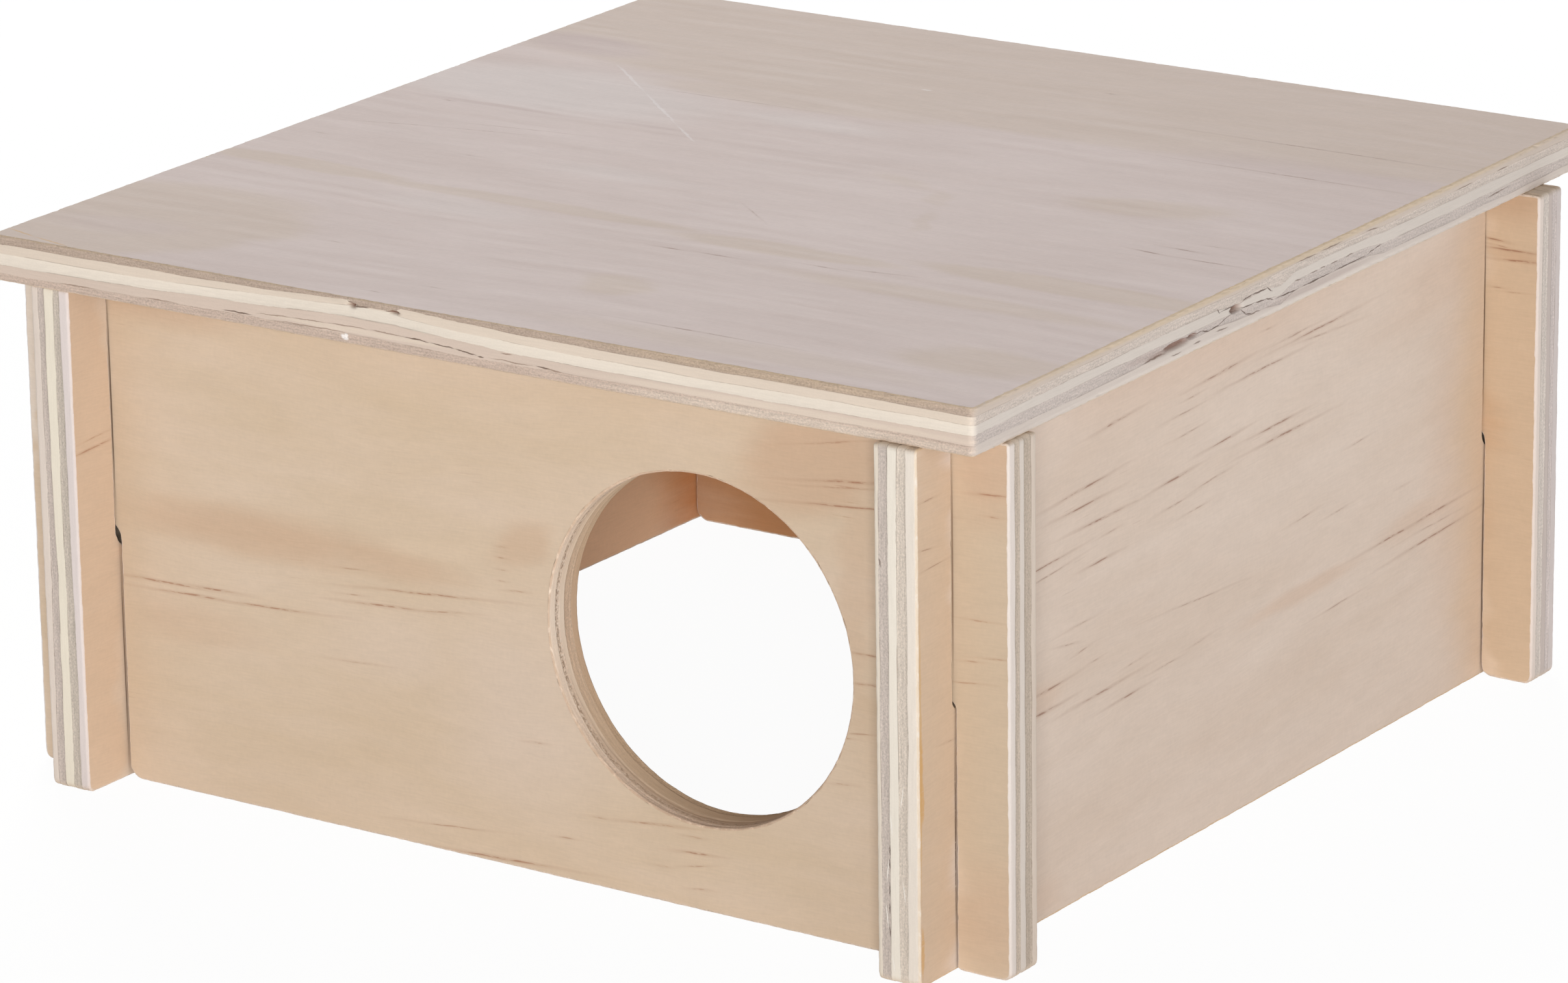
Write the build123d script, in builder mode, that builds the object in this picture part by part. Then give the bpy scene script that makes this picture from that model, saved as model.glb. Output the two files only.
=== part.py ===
"""Hamster house of five plywood boards, in millimetres.

Four wall boards cross near their ends in half-height slots and stand on their bottom edges.
The house has no floor. A flat roof board lies loose on the tops of the walls.
+X is to the right of the door side, -Y is the door side, +Z is up, and the origin is on
the ground under the middle of the house.
"""
from build123d import *
from math import sqrt
import os

os.makedirs("parts", exist_ok=True)

# Overall sizes
house_width = 200.0          # length of the front and back boards, from tab end to tab end
house_depth = 200.0          # length of the left and right boards
wall_height = 90.0
wall_thickness = 8.0         # five-ply sheet
roof_thickness = 8.0

# Corner joint: every board runs on past the board that it crosses, as a tab
tab_length = 10.5
slot_clearance = 0.4         # air on each side of a board in its slot
slot_end_radius = 3.0        # left by the round cutter in the corners of a slot's end
slot_mouth_radius = 2.5      # lead-in, so that the boards find each other
lap_clearance = 0.3          # left between two crossing boards at the rounded slot ends
board_foot_radius = 1.5       # where a board's end meets its bottom edge
board_top_radius = 0.6
arris = 0.4                  # sanded edge of every board

# Door hole in the front board, off centre to the right
door_diameter = 60.0
door_side_margin = 11.5      # from the inner face of the right wall to the edge of the hole
door_height = wall_height / 2

# Roof board, cut a little short at its sides and laid on slightly askew
roof_setback = 2.0
roof_corner_radius = 1.0
roof_turn = 0.8              # degrees

# The rounded corners of two slot ends meet before their flats do, so each slot is cut
# past half height by the rise of its corner where the other board's face passes it
slot_width = wall_thickness + 2 * slot_clearance
corner_rise = slot_end_radius - sqrt(slot_end_radius**2 - (slot_end_radius - slot_clearance) ** 2)
slot_depth = wall_height / 2 + corner_rise + lap_clearance / 2

# Outer faces of the walls, measured from the middle of the house
front_face = house_depth / 2 - tab_length
side_face = house_width / 2 - tab_length
door_offset = side_face - wall_thickness - door_side_margin - door_diameter / 2

# Planes on the outer faces: the sketch's X runs along the board and its Y runs up
front_plane = Plane(origin=(0, -front_face, 0), x_dir=(1, 0, 0), z_dir=(0, -1, 0))
back_plane = Plane(origin=(0, front_face, 0), x_dir=(-1, 0, 0), z_dir=(0, 1, 0))
right_plane = Plane(origin=(side_face, 0, 0), x_dir=(0, 1, 0), z_dir=(1, 0, 0))
left_plane = Plane(origin=(-side_face, 0, 0), x_dir=(0, -1, 0), z_dir=(-1, 0, 0))


def board_outline(length, slots_open_down):
    """Outline of a wall board that stands on its bottom edge, with a slot near each end."""
    slot_place = length / 2 - tab_length - wall_thickness / 2
    mouth, side = (0, Align.MIN) if slots_open_down else (wall_height, Align.MAX)
    with BuildSketch() as outline:
        Rectangle(length, wall_height, align=(Align.CENTER, Align.MIN))
        with Locations((-slot_place, mouth), (slot_place, mouth)):
            Rectangle(slot_width, slot_depth, align=(Align.CENTER, side), mode=Mode.SUBTRACT)
        # rows of corners from the bottom up: bottom edge, slot ends, top edge
        fillet(outline.vertices().group_by(Axis.Y)[1], radius=slot_end_radius)
        mouth_row = outline.vertices().group_by(Axis.Y)[0 if slots_open_down else -1]
        fillet(mouth_row.sort_by(Axis.X)[1:-1], radius=slot_mouth_radius)
        for row, radius in ((0, board_foot_radius), (-1, board_top_radius)):
            corners = outline.vertices().group_by(Axis.Y)[row].sort_by(Axis.X)
            fillet([corners[0], corners[-1]], radius=radius)
    return outline.sketch


def broad_edges(board, across):
    """Outer edges of a board's two broad faces, which lie across the given axis."""
    faces = board.faces().filter_by(across).group_by(SortBy.AREA)[-1]
    return [edge for face in faces for edge in face.outer_wire().edges()]


# Front wall: slots open downwards, with the round door hole
with BuildPart() as front_wall:
    with BuildSketch(front_plane):
        add(board_outline(house_width, slots_open_down=True))
        with Locations((door_offset, door_height)):
            Circle(door_diameter / 2, mode=Mode.SUBTRACT)
    extrude(amount=-wall_thickness)
    chamfer(broad_edges(front_wall, Axis.Y), length=arris)
front_wall.part.label = "front_wall"
export_step(front_wall.part, "parts/front_wall.step")

# Back wall: the same board without the hole
with BuildPart() as back_wall:
    with BuildSketch(back_plane):
        add(board_outline(house_width, slots_open_down=True))
    extrude(amount=-wall_thickness)
    chamfer(broad_edges(back_wall, Axis.Y), length=arris)
back_wall.part.label = "back_wall"
export_step(back_wall.part, "parts/back_wall.step")

# Left wall: slots open upwards and take the front and back boards
with BuildPart() as left_wall:
    with BuildSketch(left_plane):
        add(board_outline(house_depth, slots_open_down=False))
    extrude(amount=-wall_thickness)
    chamfer(broad_edges(left_wall, Axis.X), length=arris)
left_wall.part.label = "left_wall"
export_step(left_wall.part, "parts/left_wall.step")

# Right wall
with BuildPart() as right_wall:
    with BuildSketch(right_plane):
        add(board_outline(house_depth, slots_open_down=False))
    extrude(amount=-wall_thickness)
    chamfer(broad_edges(right_wall, Axis.X), length=arris)
right_wall.part.label = "right_wall"
export_step(right_wall.part, "parts/right_wall.step")

# Roof board: lies on all four walls and lifts off
with BuildPart() as roof_board:
    with BuildSketch(Plane.XY.offset(wall_height).rotated((0, 0, roof_turn))):
        RectangleRounded(house_width - 2 * roof_setback, house_depth, roof_corner_radius)
    extrude(amount=roof_thickness)
    chamfer(broad_edges(roof_board, Axis.Z), length=arris)
roof_board.part.label = "roof_board"
export_step(roof_board.part, "parts/roof_board.step")

print("slot", slot_width, "wide and", round(slot_depth, 3), "deep")
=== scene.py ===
# %% [markdown]
# # A hamster house of five plywood boards
# The house is four wall boards that cross in slots near their ends, and a flat roof board that
# lies loose on top. The CAD model gives every board its size and place. This lesson gives them
# the look of bare five-ply pine plywood: sanded faces with faint figure, and cut edges on which
# the glued plies show. The packed model is loaded first, because everything else is placed by it.

# %% Load the packed frame
import bpy
import numpy as np
from mathutils import Matrix, Vector
from mathutils.geometry import delaunay_2d_cdt


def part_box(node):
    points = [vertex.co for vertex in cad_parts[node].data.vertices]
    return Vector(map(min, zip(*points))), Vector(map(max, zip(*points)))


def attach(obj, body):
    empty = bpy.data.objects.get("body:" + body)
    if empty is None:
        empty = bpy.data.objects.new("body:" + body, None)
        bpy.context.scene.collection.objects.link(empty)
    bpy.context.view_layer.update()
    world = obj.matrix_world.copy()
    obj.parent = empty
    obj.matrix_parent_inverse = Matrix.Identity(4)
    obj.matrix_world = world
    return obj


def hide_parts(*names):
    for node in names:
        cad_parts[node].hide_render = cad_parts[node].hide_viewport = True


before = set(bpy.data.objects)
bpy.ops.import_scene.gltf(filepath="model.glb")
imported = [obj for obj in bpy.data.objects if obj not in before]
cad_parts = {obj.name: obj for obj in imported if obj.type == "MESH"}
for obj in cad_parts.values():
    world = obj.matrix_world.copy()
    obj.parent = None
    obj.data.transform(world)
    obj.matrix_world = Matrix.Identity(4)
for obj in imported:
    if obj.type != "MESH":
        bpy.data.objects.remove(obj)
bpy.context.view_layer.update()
MM = 0.001


def add_object(name, data):
    """Puts a camera, a lamp or a mesh into the scene as an object at the origin."""
    made = bpy.data.objects.new(name, data)
    bpy.context.scene.collection.objects.link(made)
    return made


print("boards:", sorted(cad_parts))

# %% [markdown]
# ## The camera
# The house was photographed from in front and a little to its right, from far away, so its edges
# hardly converge. The camera's place was worked out from the corners of the boards. It is set as a
# place, a direction, and a small roll, because a product photo is seldom quite level.

# %% Camera at the photograph's viewpoint
camera_place = np.array([0.6904, -1.0051, 0.4285])
camera_azimuth, camera_elevation, camera_roll = np.radians([34.663, 17.615, -0.820])
photo_width = 2413
focal_pixels = 11260.6
sensor_width = 36.0

forward = np.array([-np.sin(camera_azimuth) * np.cos(camera_elevation),
                    np.cos(camera_azimuth) * np.cos(camera_elevation), -np.sin(camera_elevation)])
level = np.array([np.cos(camera_azimuth), np.sin(camera_azimuth), 0.0])
upright = np.cross(level, forward)
camera_right = np.cos(camera_roll) * level + np.sin(camera_roll) * upright
camera_up = np.cross(camera_right, forward)

lens = bpy.data.cameras.new("camera")
lens.sensor_width = sensor_width
lens.lens = sensor_width * focal_pixels / photo_width
lens.clip_start, lens.clip_end = 0.05, 20.0
camera = add_object("camera", lens)
axes = np.column_stack([camera_right, camera_up, -forward])
camera.matrix_world = Matrix.Translation(Vector(camera_place)) @ Matrix(axes.tolist()).to_4x4()
bpy.context.scene.camera = camera
print("lens", round(lens.lens, 1), "mm")

# %% [markdown]
# ## Shader maths as sums
# A wood pattern is a long sum of noises and masks. Wired by hand it is hard to read, so one small
# class wraps a socket. Adding, subtracting or multiplying wrapped sockets adds the Math nodes, and
# a vector goes through Vector Math instead. Any other node comes from the method called node.

# %% A socket that can be used in sums
class Wire:
    """An output socket of a node tree that can be used in sums, as in 1 - mask * 0.5."""

    def __init__(self, tree, socket=None):
        self.tree, self.socket = tree, socket

    def node(self, kind, settings=(), inputs=(), output=0):
        """Adds a node: its settings first, then the numbers or wires of its input sockets."""
        made = self.tree.nodes.new(kind)
        for key, value in dict(settings).items():
            if key == "stops":
                ramp = made.color_ramp
                while len(ramp.elements) < len(value):
                    ramp.elements.new(1.0)
                for element, (place, colour) in zip(ramp.elements, value):
                    element.position, element.color = place, colour
            elif key == "interpolation":
                made.color_ramp.interpolation = value
            else:
                setattr(made, key, value)
        for key, value in dict(inputs).items():
            if isinstance(value, Wire):
                self.tree.links.new(value.socket, made.inputs[key])
            else:
                made.inputs[key].default_value = value
        return Wire(self.tree, made.outputs[output])

    def other(self, name):
        """Another output of the same node."""
        return Wire(self.tree, self.socket.node.outputs[name])

    def sum(self, operation, *values):
        """One Math node, or one Vector Math node when the first value is a vector."""
        first = values[0]
        vector = isinstance(first, Wire) and first.socket.type in ("VECTOR", "RGBA")
        kind = "ShaderNodeVectorMath" if vector else "ShaderNodeMath"
        return self.node(kind, {"operation": operation}, enumerate(values))

    def __add__(self, other):
        return self.sum("ADD", self, other)

    def __sub__(self, other):
        return self.sum("SUBTRACT", self, other)

    def __rsub__(self, other):
        return self.sum("SUBTRACT", other, self)

    def __mul__(self, other):
        return self.sum("MULTIPLY", self, other)

    __radd__ = __add__
    __rmul__ = __mul__

    def top(self, other):
        """The larger of two numbers."""
        return self.sum("MAXIMUM", self, other)

    def least(self, other):
        """The smaller of two numbers."""
        return self.sum("MINIMUM", self, other)

    def dot(self, axis):
        """How far a vector reaches along an axis."""
        settings = {"operation": "DOT_PRODUCT"}
        return self.node("ShaderNodeVectorMath", settings, {0: self, 1: tuple(axis)}, "Value")

    def length(self):
        """The length of a vector."""
        return self.node("ShaderNodeVectorMath", {"operation": "LENGTH"}, {0: self}, "Value")

    def step(self, low, high):
        """0 below low and 1 above high, with a smooth rise between. High may be the smaller."""
        flip = low > high
        limits = {"Value": self, "From Min": min(low, high), "From Max": max(low, high),
                  "To Min": float(flip), "To Max": float(not flip)}
        return self.node("ShaderNodeMapRange", {"interpolation_type": "SMOOTHSTEP"}, limits, "Result")

    def mix(self, factor, other):
        """This colour turned into another by the factor. Either may be a plain colour."""
        return self.blend("MIX", factor, other)

    def blend(self, way, factor, other):
        """A Mix node on colours, with any of its ways of blending."""
        settings = {"data_type": "RGBA", "blend_type": way, "clamp_factor": True}
        return self.node("ShaderNodeMix", settings, {0: factor, 6: self, 7: other}, 2)


print("a wire can", sorted(key for key in vars(Wire) if key[0] != "_"))

# %% [markdown]
# ## Colours as they are seen
# A colour named as it looks on a screen has to be made linear before a shader can add to it or
# multiply it. Every finish starts from an empty material with one Principled shader.

# %% Colours and empty materials
def srgb(red, green, blue):
    """A colour as it is seen, 0 to 255, as the linear colour with alpha that a shader takes."""
    seen = np.array([red, green, blue]) / 255
    linear = np.where(seen <= 0.04045, seen / 12.92, ((seen + 0.055) / 1.055) ** 2.4)
    return (*linear.tolist(), 1.0)


def new_finish(name):
    """An empty material, its Principled shader node, and a first wire to build with."""
    material = bpy.data.materials.new(name)
    material.use_nodes = True
    return material, material.node_tree.nodes["Principled BSDF"], Wire(material.node_tree)


print("a mid grey is", [round(c, 3) for c in srgb(128, 128, 128)])

# %% [markdown]
# ## Light and floor
# Pale wood shows its faint figure only under even light. The main lamp stands close beside the
# camera, so that shadows fall where the camera can't see them, and it reaches in through the door.
# A weaker one lights the right side, and one high behind the house lights the roof and the walls at
# the back. The house stood on a light table: its faces that look down are not dark, and its
# inside isn't either. So a dim plain sky lights it from all round, and the floor glows faintly.
# The camera gets mostly plain white from the floor, and a share of its own lit surface, so that
# the house still has a soft shadow to stand on.

# %% World, lamps and floor
sky_strength = 0.20
floor_glow = 0.25
floor_white_share = 0.94
floor_reach = 3.0
house_middle = Vector((0, 0, 0.05))
white = (1, 1, 1, 1)

world = bpy.data.worlds.new("sky")
bpy.context.scene.world = world
world.use_nodes = True
sky = Wire(world.node_tree)


def seen_directly(wire):
    """1 where a ray comes from the camera, or mirrors or passes what the camera sees."""
    path = wire.node("ShaderNodeLightPath", output="Is Camera Ray")
    return path.top(path.other("Is Glossy Ray")).top(path.other("Is Transmission Ray"))


lit = sky.node("ShaderNodeBackground", inputs={"Color": white, "Strength": sky_strength})
shown = sky.node("ShaderNodeBackground", inputs={"Color": white, "Strength": 1.0})
both = sky.node("ShaderNodeMixShader", inputs={0: seen_directly(sky), 1: lit, 2: shown})
world.node_tree.links.new(both.socket, world.node_tree.nodes["World Output"].inputs["Surface"])


def soft_lamp(name, place, size, power):
    """A square area lamp of that size that faces the middle of the house."""
    lamp = bpy.data.lights.new(name, "AREA")
    lamp.size, lamp.energy = size, power
    turn = (house_middle - Vector(place)).to_track_quat("-Z", "Y").to_matrix().to_4x4()
    add_object(name, lamp).matrix_world = Matrix.Translation(place) @ turn


soft_lamp("front_lamp", (1.29, -1.91, 0.58), 0.5, 27.5)
soft_lamp("side_lamp", (2.20, -0.72, 0.50), 0.9, 8.7)
soft_lamp("back_lamp", (-1.2, 1.4, 1.7), 1.0, 36.0)

floor_mesh = bpy.data.meshes.new("floor")
floor_corners = [(x * floor_reach, y * floor_reach, 0) for x, y in ((-1, -1), (1, -1), (1, 1), (-1, 1))]
floor_mesh.from_pydata(floor_corners, [], [(0, 1, 2, 3)])
floor = add_object("floor", floor_mesh)
floor_paint, floor_shader, wire = new_finish("floor_paint")
for socket, value in (("Base Color", (0.92, 0.92, 0.92, 1)), ("Roughness", 0.9),
                      ("Emission Color", white), ("Emission Strength", floor_glow)):
    floor_shader.inputs[socket].default_value = value
glow = wire.node("ShaderNodeEmission", inputs={"Color": white, "Strength": 1.0})
lit_floor = Wire(wire.tree, floor_shader.outputs[0])
mixed = wire.node("ShaderNodeMixShader",
                  inputs={0: seen_directly(wire) * floor_white_share, 1: lit_floor, 2: glow})
wire.tree.links.new(mixed.socket, wire.tree.nodes["Material Output"].inputs["Surface"])
floor_mesh.materials.append(floor_paint)

# %% [markdown]
# ## A frame on each board
# Every board is drawn the same way: u runs along it, v up its face, and w goes into the wood from
# the outer face. With three unit vectors and an origin, one formula puts a drawn point in the
# house, and the same vectors later turn the wood pattern to lie along the board.

# %% Where each board lies
UP = np.array([0.0, 0.0, 1.0])


class Board:
    """A board's own axes in the house, from the box of its CAD node: u along, v up, w inwards."""

    def __init__(self, node, out, up=UP, from_middle=False):
        low, high = (np.array(corner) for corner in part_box(node))
        self.node = node
        self.out, self.up = np.array(out, float), np.array(up, float)
        self.along = np.cross(self.up, self.out)
        span = high - low
        self.length, self.height = abs(self.along @ span), abs(self.up @ span)
        self.thickness = abs(self.out @ span)
        centre = (low + high) / 2
        self.origin = centre + self.out * self.thickness / 2
        if not from_middle:
            self.origin = self.origin - self.up * self.height / 2

    def place(self, u, v, w):
        """Origin + u along + v up - w out, for whole arrays of u, v and w."""
        return (self.origin + u[..., None] * self.along + v[..., None] * self.up
                - w[..., None] * self.out)


roof_turn = np.radians(0.8)
roof_width, roof_depth = 196 * MM, 200 * MM
boards = {
    "front": Board("front_wall", (0, -1, 0)),
    "back": Board("back_wall", (0, 1, 0)),
    "right": Board("right_wall", (1, 0, 0)),
    "left": Board("left_wall", (-1, 0, 0)),
    "roof": Board("roof_board", (0, 0, 1), (-np.sin(roof_turn), np.cos(roof_turn), 0), True),
}
for name, board in boards.items():
    print(name, "length", round(board.length, 4), "thickness", round(board.thickness, 4))

# %% [markdown]
# ## Outlines with rounded corners
# A router leaves every inside corner round, and sanding rounds the outside ones. The outline is
# therefore a list of sharp corners with a radius each, and one function walks round it: straight
# runs and tangent arcs take turns, and points are spread evenly by arc length.

# %% Walk round an outline
def rounded_outline(corners, radii, pitch):
    """Points, unit tangents and arc lengths round a closed outline.

    At each corner the way a turns to b by an angle. The arc of radius r starts r * tan(angle / 2)
    before the corner. At angle t into it, the point has gone r * sin(t) along a and
    r * (1 - cos(t)) to the side it turns to. After the arc the way is straight to the next one."""
    corners, radii = np.array(corners, float), np.array(radii, float)
    a = corners - np.roll(corners, 1, axis=0)
    a /= np.linalg.norm(a, axis=1)[:, None]
    b = np.roll(a, -1, axis=0)
    left = np.column_stack([-a[:, 1], a[:, 0]])
    angle = np.arctan2((left * b).sum(1), (a * b).sum(1))
    side, trim, bend = np.sign(angle), radii * np.tan(np.abs(angle) / 2), radii * np.abs(angle)
    run = np.linalg.norm(np.roll(corners, -1, axis=0) - corners, axis=1) - trim - np.roll(trim, -1)
    starts = np.concatenate([[0], np.cumsum(bend + run)])
    total = starts[-1]
    s = np.arange(round(total / pitch)) * total / round(total / pitch)
    i = np.searchsorted(starts, s, side="right") - 1
    x = s - starts[i]
    t = np.minimum(x, bend[i]) / np.maximum(radii[i], 1e-9)
    past = np.maximum(x - bend[i], 0)
    tangent = np.cos(t)[:, None] * a[i] + (np.sin(t) * side[i])[:, None] * left[i]
    points = (corners[i] - a[i] * trim[i][:, None] + (radii[i] * np.sin(t))[:, None] * a[i]
              + (radii[i] * (1 - np.cos(t)) * side[i])[:, None] * left[i] + past[:, None] * tangent)
    return points, tangent, s, total


def round_outline(centre, radius, pitch):
    """The same for a round hole, walked clockwise so that the wood stays on the left."""
    total = 2 * np.pi * radius
    count = round(total / pitch)
    s = np.arange(count) * total / count
    t = -s / radius
    points = np.array(centre) + radius * np.column_stack([np.cos(t), np.sin(t)])
    return points, np.column_stack([np.sin(t), -np.cos(t)]), s, total


unit_square = np.array([(-1, -1), (1, -1), (1, 1), (-1, 1)]) / 2
around = rounded_outline(unit_square, [0.1] * 4, 0.01)[3]
print("a unit square with corners of radius 0.1 is", round(around, 3), "round")

# %% [markdown]
# ## The slotted outline of a wall
# Front and back boards have slots that open down, the side boards have slots that open up. The
# slots keep a little air beside the crossing board, which shows as a thin dark seam, and the
# cutter's radius in their ends. The boards never sit quite in the middle of their slots, so every
# slot has its own air at either side, and the two slots of a joint may meet off half height.

# %% Outline of a wall board
lap_air = 0.3 * MM
foot_radius, top_radius, roof_radius = 1.5 * MM, 0.6 * MM, 1.0 * MM
outline_pitch = 0.5 * MM
crossing_boards = {"front": "right", "back": "left", "right": "back", "left": "front"}


def wall_outline(name, slots):
    """Corners round a wall board, with a slot near each end where the crossing boards stand.

    Each of the two slots, the one at -u first, is given in mm: the air at its outer and at its
    inner side, how much deeper than half height it goes, and the radii of its mouth and its end.
    Every slot is also cut deeper by the rise of its round corner at the crossing board's face, so
    that both boards can sink level. Slots that open up are drawn as if the board were turned over."""
    board, crossing = boards[name], boards[crossing_boards[name]]
    slots_open_down = name in ("front", "back")
    half, height = board.length / 2, board.height
    face = abs(crossing.out @ crossing.origin)
    near_end = (foot_radius, top_radius) if slots_open_down else (top_radius, foot_radius)
    sides = []
    for slot in (slots if slots_open_down else slots[::-1]):
        outer_air, inner_air, deeper, mouth, end = (length * MM for length in slot)
        outer, inner = face + outer_air, face - crossing.thickness - inner_air
        rise = end - np.sqrt(end**2 - (end - min(outer_air, inner_air)) ** 2)
        deep = height / 2 + rise + lap_air / 2 + deeper
        sides.append([(inner, 0, mouth), (inner, deep, end), (outer, deep, end), (outer, 0, mouth),
                      (half, 0, near_end[0]), (half, height, near_end[1])])
    left_side = [(-x, y, r) for x, y, r in reversed(sides[0])]
    turned = np.array(sides[1] + left_side)
    if not slots_open_down:
        turned = turned * (-1, -1, 1) + (0, height, 0)
    return rounded_outline(turned[:, :2], turned[:, 2], outline_pitch)


door_radius, door_centre = 30 * MM, (40 * MM, 45 * MM)
outlines = {
    "front": [wall_outline("front", [(0.1, 0.7, -1.2, 2.5, 3.0), (0.3, 0.2, -0.15, 0.8, 1.0)]),
              round_outline(door_centre, door_radius, outline_pitch)],
    "back": [wall_outline("back", [(0.3, 0.2, -0.6, 2.0, 3.0), (0.2, 0.2, 0, 2.5, 3.0)])],
    "right": [wall_outline("right", [(0.5, 0.2, -0.15, 1.0, 1.0), (0.2, 0.4, 0.6, 2.5, 3.0)])],
    "left": [wall_outline("left", [(0.2, 0.2, 0, 2.5, 3.0), (0.4, 0.2, 1.2, 2.5, 3.0)])],
    "roof": [rounded_outline(unit_square * (roof_width, roof_depth), [roof_radius] * 4, outline_pitch)],
}
for name, loops in outlines.items():
    print(name, "outline", [round(loop[3], 4) for loop in loops], "m round")

# %% [markdown]
# ## The cut edge of a five-ply sheet
# The saw leaves each ply a little different: plies cut along their grain tear and sit lower than
# those cut across it, the glue lines wander, and the sanded arris is never quite even. The edge is
# a strip of points, arc length one way and depth into the board the other. A height for every
# point is summed from seeded smooth noise, so the roughness is real geometry, and the same arrays
# tell the material which ply a point is in.

# %% Noise, and depths across the strip
def smooth_noise(rng, shape, feature):
    """Seeded noise of spread 1, with lumps about `feature` cells long in each direction.

    White noise is multiplied in the frequency domain by a Gaussian, exp(-(pi f l)^2 / 2)."""
    waves = [np.fft.fftfreq(n) * length * np.pi for n, length in zip(shape, feature)]
    fade = np.exp(-(waves[0][:, None] ** 2 + waves[1][None, :] ** 2) / 2)
    field = np.fft.ifft2(np.fft.fft2(rng.standard_normal(shape)) * fade).real
    return field / field.std()


def smooth_step(x, low, high):
    """0 below low and 1 above high, with a smooth rise 3t^2 - 2t^3 between."""
    t = np.clip((x - low) / (high - low), 0, 1)
    return t * t * (3 - 2 * t)


def edge_rows(thickness, arris, fine=6, coarse=0.22 * MM):
    """Depths across the strip: close together on both rounded arrises, even between them."""
    near = arris * 1.5 * (1 - np.cos(np.linspace(0, np.pi / 2, fine + 1)))
    middle = np.linspace(near[-1], thickness - near[-1], round((thickness - 2 * near[-1]) / coarse) + 1)
    return np.concatenate([near[:-1], middle, (thickness - near[:-1])[::-1]])


print("points across an edge:", len(edge_rows(8 * MM, 0.4 * MM)))

# %% [markdown]
# ## A strip that knows its plies
# Four glue lines run along the strip. Each one starts at an even depth, can be laid as listed, and
# then strays a little. Where a point lies between the lines says which ply it is in.

# %% The edge strip and its plies
thinnest_ply = 0.02 * MM


class Edge:
    """The cut edge along one outline: arc length s down the rows, depth w across the columns."""

    def __init__(self, board, outline, plies, rng, arris):
        self.points, self.tangent, s, _ = outline
        self.arris, self.rng, self.thickness, self.pitch = arris, rng, board.thickness, s[1]
        self.w = edge_rows(board.thickness, arris)
        self.shape = (len(s), len(self.w))
        ones = np.ones(self.shape)
        self.u, self.v, self.depth = self.points[:, :1] * ones, self.points[:, 1:] * ones, self.w * ones
        self.lines = np.cumsum(plies)[:-1] * MM * ones[:, :1]
        self.cut, self.pit = np.zeros(self.shape), np.zeros(self.shape)

    def lay_lines(self, inside, at, table):
        """Lays the glue lines as listed: rows of a place in mm and the four depths there."""
        table = np.array(table)
        laid = np.column_stack([np.interp(at / MM, table[:, 0], depths) for depths in table[:, 1:].T])
        self.lines[inside] = laid[inside] * MM

    def along_noise(self, wavelength):
        """Noise of spread 1 that changes only along the edge, in lumps so many mm long."""
        return smooth_noise(self.rng, (self.shape[0], 1), (wavelength * MM / self.pitch, 1))

    def stray(self, size, wavelength):
        """Lets each of the four glue lines stray by about so many mm, smoothly along the edge."""
        waves = [self.along_noise(wavelength) for _ in range(4)]
        self.lines = self.lines + np.concatenate(waves, 1) * size * MM

    def rough(self, size, along, across):
        """Depths of about so many mm, in lumps so many mm along the edge and rows across."""
        return size * MM * np.abs(smooth_noise(self.rng, self.shape, (along * MM / self.pitch, across)))

    def find_ply(self):
        """Which ply each point is in: whole numbers on the glue lines, 0 and 5 on the faces."""
        face = np.zeros((self.shape[0], 1))
        full = np.concatenate([face, self.lines, face + self.thickness], 1)
        thick = np.maximum(np.diff(full, axis=1), thinnest_ply)
        return sum(np.clip((self.w - full[:, k, None]) / thick[:, k, None], 0, 1) for k in range(5))


trial = Edge(boards["roof"], outlines["roof"][0], (1.6,) * 5, np.random.default_rng(0), 0.3 * MM)
print("the roof's edge has", trial.shape, "points, and plies up to", trial.find_ply().max())

# %% [markdown]
# ## Wear and relief on an edge
# The arris is a quarter round whose radius changes along the board, with a chip here and there.
# In the slots nobody sanded it, so it is small and ragged. Torn plies sit a little low with a
# grain of pits. All of it is one sum for the depth of each point below the clean cut, kept at zero
# or more so that no board grows.

# %% Depth of the cut
least_arris, most_arris_share = 0.03 * MM, 1.45
chip_level, chip_size, chip_reach = 1.6, 0.12 * MM, 0.8 * MM
torn_depth = 0.05 * MM


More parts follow.
